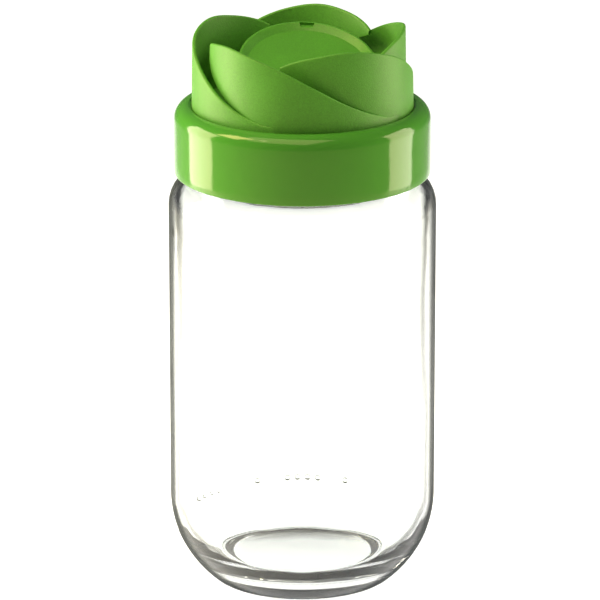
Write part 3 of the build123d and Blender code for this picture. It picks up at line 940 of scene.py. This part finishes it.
def circle(radius, place, steps=160):
    """Points round a circle, put in place by a matrix."""
    return [
        place @ Vector((radius * cos(tau * i / steps), radius * sin(tau * i / steps), 0))
        for i in range(steps)
    ]


def join(bm, other):
    """Adds a bmesh to another and frees it."""
    mesh = bpy.data.meshes.new("part")
    other.to_mesh(mesh)
    other.free()
    bm.from_mesh(mesh)
    bpy.data.meshes.remove(mesh)


def disc_place(s):
    """Where the slanted disc sits: its rim's plane and middle."""
    tilt = Matrix.Rotation(s.disc_turn, 4, "Z") @ Matrix.Rotation(s.disc_tilt, 4, "X")
    return Matrix.Translation((s.bud_shift, 0, RING_HIGH.z + s.disc_rise)) @ tilt


# ---------------------------------------------------------------- centre disc
CREST_WIDTH = 0.9 * MM
DISC_FLOOR = 1.5 * MM      # thickness of the dished floor
PLUG_GAP = 0.1 * MM
PLUG_DEPTH = 3.6 * MM
PLUG_WALL = 1.4 * MM
NOTCH_LIP = 0.7 * MM       # crest left outside the notch
NOTCH_CUT = 0.15 * MM      # how far short of that lip its straight side stands
NOTCH_FLOOR = 1.1 * MM     # depth of the notch below the crest
CUTTER_HEIGHT = 4 * MM


class JAR_OT_centre_disc(bpy.types.Operator):
    """Slanted dished disc with its bright crest and half-moon notch"""

    bl_idname = "jar.centre_disc"
    bl_label = "Centre disc"

    def execute(self, context):
        s = context.scene.jar_lid
        r, edge, sink = s.disc, -s.disc_edge, -s.disc_sink
        inner = r - CREST_WIDTH
        floor_r = inner - s.disc_band
        plug = r - s.bud_wall - PLUG_GAP
        plug_low, under = edge - PLUG_DEPTH, sink - DISC_FLOOR
        outline = [(0, sink)] + straight((0.3 * floor_r, sink), (0.94 * floor_r, sink), 6)
        outline += rounded_corner((0, sink), (floor_r, sink), (inner, 0), 0.7 * MM, 4)
        outline += rounded_corner((floor_r, sink), (inner, 0), (r, 0), 0.25 * MM, 3)
        outline += rounded_corner((inner, 0), (r, 0), (r, edge), 0.45 * MM, 6)
        outline += rounded_corner((r, 0), (r, edge), (plug, edge), 0.15 * MM, 2)
        outline += [(plug, edge), (plug, plug_low), (plug - PLUG_WALL, plug_low)]
        outline += [(plug - PLUG_WALL, under), (0, under)]
        bm = spun(without_repeats(outline), ROSE_COLUMNS)
        face_outwards(bm)
        bmesh.ops.transform(bm, matrix=disc_place(s), verts=bm.verts)
        green = spark_eroded_plastic(
            context.scene.jar_colours.rose, "polypropylene_fine_matt", 0.25, 0.36
        )
        disc = finished(bm, "lid_centre_disc", LID_BODY, green, ["centre_disc"])
        self.cut_notch(disc, s)
        return {"FINISHED"}

    @staticmethod
    def cut_notch(disc, s):
        """Half-moon recess behind the crest, for a fingernail that lifts the disc out."""
        lip_r = s.disc - NOTCH_LIP
        bm = bmesh.new()
        bmesh.ops.create_cone(
            bm, cap_ends=True, segments=48, radius1=s.notch, radius2=s.notch, depth=CUTTER_HEIGHT,
            matrix=Matrix.Translation((0, lip_r, CUTTER_HEIGHT / 2 - NOTCH_FLOOR)),
        )
        far = bmesh.ops.bisect_plane(
            bm, geom=list(bm.verts) + list(bm.edges) + list(bm.faces), dist=1e-7,
            plane_co=(0, lip_r - NOTCH_CUT, 0), plane_no=(0, 1, 0), clear_outer=True,
        )
        open_edges = [e for e in far["geom_cut"] if isinstance(e, bmesh.types.BMEdge)]
        bmesh.ops.edgeloop_fill(bm, edges=open_edges)
        face_outwards(bm)
        turn = Matrix.Rotation(s.notch_turn, 4, "Z")
        bmesh.ops.transform(bm, matrix=disc_place(s) @ turn, verts=bm.verts)
        mesh = bpy.data.meshes.new("notch")
        bm.to_mesh(mesh)
        bm.free()
        cutter = bpy.data.objects.new("notch", mesh)
        bpy.context.scene.collection.objects.link(cutter)
        cut = disc.modifiers.new("notch", "BOOLEAN")
        cut.operation = "DIFFERENCE"
        cut.solver = "EXACT"
        cut.object = cutter
        with bpy.context.temp_override(object=disc, active_object=disc):
            bpy.ops.object.modifier_apply(modifier=cut.name)
        bpy.data.objects.remove(cutter)
        bpy.data.meshes.remove(mesh)


# ---------------------------------------------------------------- inner cap
CAP_PLATE = 1.8 * MM
CAP_SKIRT = 1.6 * MM
CAP_PLATE_GAP = 0.02 * MM
THREAD_GAP = 0.35 * MM     # room between the glass threads and the skirt
WEBS = 12                  # webs outside the skirt, which the ring's ribs push on
WEB_SIZE = (4.0 * MM, 1.4 * MM, 8.5 * MM)
WEB_OUT = 1.4 * MM
LUGS = 4
LUG_SPAN = radians(34)
LUG_TURN = radians(22)
LUG_DROP = 1.55 * MM       # middle of a lug below the glass thread that it bears on


class JAR_OT_inner_cap(bpy.types.Operator):
    """Natural plastic screw cap that clips up into the ring"""

    bl_idname = "jar.inner_cap"
    bl_label = "Inner screw cap"

    def execute(self, context):
        g = context.scene.jar_glass
        low, top = CAP_LOW.z, CAP_HIGH.z
        plate_r, plate_z = CAP_HIGH.x - CAP_PLATE_GAP, top - CAP_PLATE
        skirt_in = g.neck + g.thread_depth + THREAD_GAP
        skirt_out = skirt_in + CAP_SKIRT
        outline = rounded_outline([
            (skirt_in, plate_z, 0.3 * MM), (skirt_in, low, 0.5 * MM), (skirt_out, low, 0.4 * MM),
            (skirt_out, plate_z, 0.3 * MM), (plate_r, plate_z, 0.3 * MM), (plate_r, top, 0.3 * MM),
        ], 3)
        outline = [(0, plate_z)] + outline + [(0, top)]
        bm = spun(without_repeats(outline), CAP_COLUMNS)
        face_outwards(bm)
        for i in range(WEBS):
            turn = Matrix.Rotation(tau * (i + 0.5) / WEBS, 4, "Z")
            lift = Matrix.Translation((skirt_out + WEB_OUT, 0, plate_z - WEB_SIZE[2] / 2))
            add_box(bm, WEB_SIZE, turn @ lift, 0.25 * MM)
        half_rise = g.thread_lead * LUG_SPAN / 2 / tau
        start_z = JAR_HIGH.z - g.thread_drop - half_rise - LUG_DROP
        for i in range(LUGS):
            lug = self.lug(g, skirt_in, start_z)
            bmesh.ops.rotate(
                lug, verts=lug.verts, cent=(0, 0, 0),
                matrix=Matrix.Rotation(tau * i / LUGS + LUG_TURN, 3, "Z"),
            )
            join(bm, lug)
        milky = natural_plastic(context.scene.jar_colours.cap)
        finished(
            bm, "lid_inner_cap", LID_BODY, milky, ["inner_screw_cap"]
        )
        return {"FINISHED"}

    @staticmethod
    def lug(g, wall, start_z):
        """One thread lug of the cap, a rounded bar along the thread's helix."""
        section = rounded_outline([
            (wall + 0.5 * MM, -0.75 * MM, 0), (wall + 0.5 * MM, 0.75 * MM, 0),
            (wall - 1.3 * MM, 0.4 * MM, 0.3 * MM), (wall - 1.3 * MM, -0.4 * MM, 0.3 * MM),
        ], 3)
        lug = spun(
            [(r, z + start_z) for r, z in section], 24, closed=True, angle=LUG_SPAN,
            rise=g.thread_lead * LUG_SPAN / tau,
        )
        bmesh.ops.holes_fill(lug, edges=lug.edges, sides=0)
        face_outwards(lug)
        return lug


class JAR_OT_seal_liner(bpy.types.Operator):
    """Foam disc that seals the rim"""

    bl_idname = "jar.seal_liner"
    bl_label = "Seal liner"

    def execute(self, context):
        radius, low, top = LINER_HIGH.x, LINER_LOW.z, LINER_HIGH.z
        edge, inside = 0.3 * MM, radius / 2
        outline = rounded_outline(
            [(inside, low, 0), (radius, low, edge), (radius, top, edge), (inside, top, 0)], 3
        )
        bm = spun([(0, low)] + outline + [(0, top)], LINER_COLUMNS)
        face_outwards(bm)
        foam = closed_cell_foam(context.scene.jar_colours.liner)
        finished(bm, "seal_foam", SEAL_BODY, foam, ["seal_liner"])
        return {"FINISHED"}


# ---------------------------------------------------------------- stage
FLOOR_R = 4.0
WORLD_STRENGTH = 0.10
CAMERA_DISTANCE = 2.0
CAMERA_RISE = 17.5         # degrees above level
CAMERA_AIM = (-0.9 * MM, 0.0, 107.4 * MM)
CAMERA_LENS = 319.2
CAMERA_SENSOR = 36.0
CAMERA_REACH = 20.0

# Name, size in metres, watts, place, point it faces, colour
LIGHTS = (
    ("left_softbox", (0.26, 0.42), 3.0, (-0.42, 0.08, 0.21), (0, 0, 0.15), (1, 0.95, 0.80)),
    ("right_softbox", (0.24, 0.42), 1.8, (0.42, 0.04, 0.21), (0, 0, 0.15), (1, 0.98, 0.92)),
    ("overhead", (1.0, 0.8), 6.5, (-0.20, -0.42, 1.15), (0, 0, 0.2), (1, 0.97, 0.85)),
    ("key", (0.3, 0.3), 3.4, (-0.55, -0.10, 0.75), (0, 0, 0.2), (1, 0.90, 0.55)),
    ("small_lamp", (0.05, 0.05), 0.08, (-0.30, -0.27, 0.74), (0, 0, 0.17), (1, 1, 1)),
)


def add_light(name, size, power, place, aim, tint):
    """A rectangular softbox that faces a point."""
    light = bpy.data.lights.new(name, "AREA")
    light.shape = "RECTANGLE"
    light.size, light.size_y = size
    light.energy = power
    light.color = tint
    lamp = bpy.data.objects.new(name, light)
    bpy.context.scene.collection.objects.link(lamp)
    lamp.location = place
    lamp.rotation_euler = (Vector(aim) - Vector(place)).to_track_quat("-Z", "Y").to_euler()


class JAR_OT_stage(bpy.types.Operator):
    """Pale floor, soft studio lights and the camera"""

    bl_idname = "jar.stage"
    bl_label = "Stage"

    def execute(self, context):
        scene = context.scene
        bm = bmesh.new()
        bmesh.ops.create_circle(bm, cap_ends=True, segments=96, radius=FLOOR_R)
        mesh = bpy.data.meshes.new("floor")
        bm.to_mesh(mesh)
        bm.free()
        mesh.materials.append(seamless_paper(scene.jar_colours.floor))
        floor = bpy.data.objects.new("floor", mesh)
        scene.collection.objects.link(floor)

        world = bpy.data.worlds.new("studio")
        world.use_nodes = True
        background = world.node_tree.nodes["Background"]
        background.inputs["Color"].default_value = linear("FFFFFF")
        background.inputs["Strength"].default_value = WORLD_STRENGTH
        scene.world = world
        scene.view_settings.view_transform = "Standard"

        for light in LIGHTS:
            add_light(*light)

        camera = bpy.data.cameras.new("camera")
        camera.lens = CAMERA_LENS
        camera.sensor_width = CAMERA_SENSOR
        camera.clip_end = CAMERA_REACH
        view = bpy.data.objects.new("camera", camera)
        scene.collection.objects.link(view)
        rise = radians(CAMERA_RISE)
        back = Vector((0, -cos(rise), sin(rise)))
        view.location = Vector(CAMERA_AIM) + back * CAMERA_DISTANCE
        view.rotation_euler = (-back).to_track_quat("-Z", "Y").to_euler()
        scene.camera = view
        return {"FINISHED"}


# ---------------------------------------------------------------- panel and run
OPERATORS = (
    JAR_OT_stage,
    JAR_OT_glass_jar,
    JAR_OT_seal_liner,
    JAR_OT_inner_cap,
    JAR_OT_outer_ring,
    JAR_OT_rose,
    JAR_OT_centre_disc,
)
GROUPS = (JAR_PG_glass, JAR_PG_lid, JAR_PG_colours)


class JAR_PT_panel(bpy.types.Panel):
    """Lists the jar's pieces and their sizes"""

    bl_idname = "JAR_PT_panel"
    bl_label = "Rose-lid jar"
    bl_space_type = "VIEW_3D"
    bl_region_type = "UI"
    bl_category = "Jar"

    def draw(self, context):
        for operator in OPERATORS:
            self.layout.operator(operator.bl_idname)
        for group in (context.scene.jar_glass, context.scene.jar_lid, context.scene.jar_colours):
            box = self.layout.box()
            for name in group.bl_rna.properties.keys():
                if name not in ("rna_type", "name"):
                    box.prop(group, name)


CLASSES = GROUPS + OPERATORS + (JAR_PT_panel,)


def register():
    """Makes the classes known to Blender and hangs the settings on the scene."""
    for cls in CLASSES:
        bpy.utils.register_class(cls)
    bpy.types.Scene.jar_glass = PointerProperty(type=JAR_PG_glass)
    bpy.types.Scene.jar_lid = PointerProperty(type=JAR_PG_lid)
    bpy.types.Scene.jar_colours = PointerProperty(type=JAR_PG_colours)


def unregister():
    """Takes the settings and the classes away again."""
    for name in ("jar_glass", "jar_lid", "jar_colours"):
        delattr(bpy.types.Scene, name)
    for cls in reversed(CLASSES):
        bpy.utils.unregister_class(cls)


def main():
    """Builds the stage and every piece."""
    register()
    for operator in OPERATORS:
        group, name = operator.bl_idname.split(".")
        getattr(getattr(bpy.ops, group), name)()


if __name__ == "__main__":
    main()
